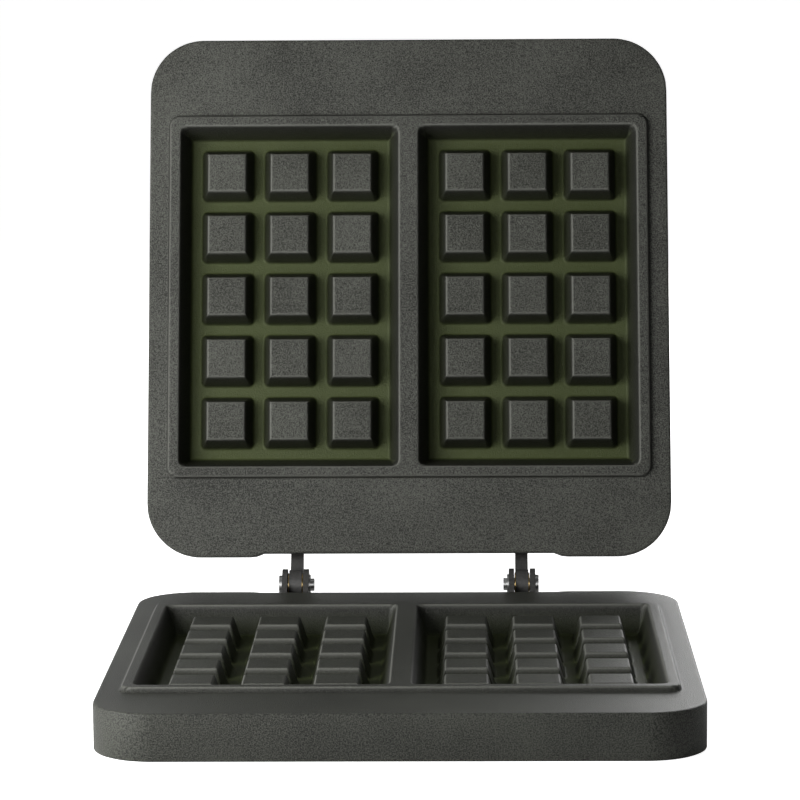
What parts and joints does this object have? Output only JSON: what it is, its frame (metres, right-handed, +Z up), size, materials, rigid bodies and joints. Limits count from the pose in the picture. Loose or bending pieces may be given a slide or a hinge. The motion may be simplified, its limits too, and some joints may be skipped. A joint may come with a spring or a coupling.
{
  "type": "waffle maker plate pair",
  "caption": "Hinged pair of cast waffle baking plates with deep rectangular grids, standing open with the lid leaning back on its stop.",
  "frame": {"origin": "centre of the four mounting holes, on the plane that the lower plate stands on", "axes": "+Z up out of the lower baking face, +X to the right seen from the front, +Y back towards the hinge"},
  "size_m": [0.252, 0.4168, 0.2768],
  "materials": {
    "cast": "seasoned cast surface",
    "hinge_steel": "blackened",
    "sheet_steel": "brushed",
    "element_tube": "annealed",
    "fastener": "zinc plated",
    "ceramic": "glazed",
    "brass_part": "machined",
    "board": "pressed fibre",
    "grip": "moulded",
    "post": "satin"
  },
  "bodies": {
    "base": {"lower_plate": "cast", "hinge_bracket_left": "hinge_steel", "hinge_bracket_right": "hinge_steel", "bottom_cover": "sheet_steel", "lower_saddles": "sheet_steel", "lower_element": "element_tube", "bottom_cover_screws": "fastener", "bracket_screws": "fastener", "lower_saddle_screws": "fastener", "hinge_pin_left": "fastener", "hinge_pin_right": "fastener", "pin_clips": "fastener", "stop_pins": "fastener", "lower_element_terminals": "fastener", "lower_element_beads": "ceramic", "lower_terminal_block": "ceramic", "lower_thermostat": "ceramic", "lower_links": "brass_part", "lower_gland": "brass_part", "lower_gland_nut": "brass_part", "lower_thermal_fuse": "brass_part"},
    "lid": {"upper_plate": "cast", "hinge_arm_left": "hinge_steel", "hinge_arm_right": "hinge_steel", "lid_cover": "sheet_steel", "upper_saddles": "sheet_steel", "upper_element": "element_tube", "lid_cover_screws": "fastener", "arm_screws": "fastener", "upper_saddle_screws": "fastener", "handle_nuts": "fastener", "handle_studs": "fastener", "handle_rod": "fastener", "upper_element_terminals": "fastener", "upper_element_beads": "ceramic", "upper_terminal_block": "ceramic", "upper_thermostat": "ceramic", "upper_links": "brass_part", "upper_gland": "brass_part", "upper_gland_nut": "brass_part", "arm_bushes": "brass_part", "upper_thermal_fuse": "brass_part", "insulation_board": "board", "handle_grip": "grip", "handle_post_left": "post", "handle_post_right": "post"}
  },
  "joints": [
    {"name": "lid_hinge", "type": "hinge", "parent": "base", "child": "lid", "pos_m": [0, 0.1409, 0.0205], "axis": [1, 0, 0], "range_deg": [0, 106]}
  ]
}
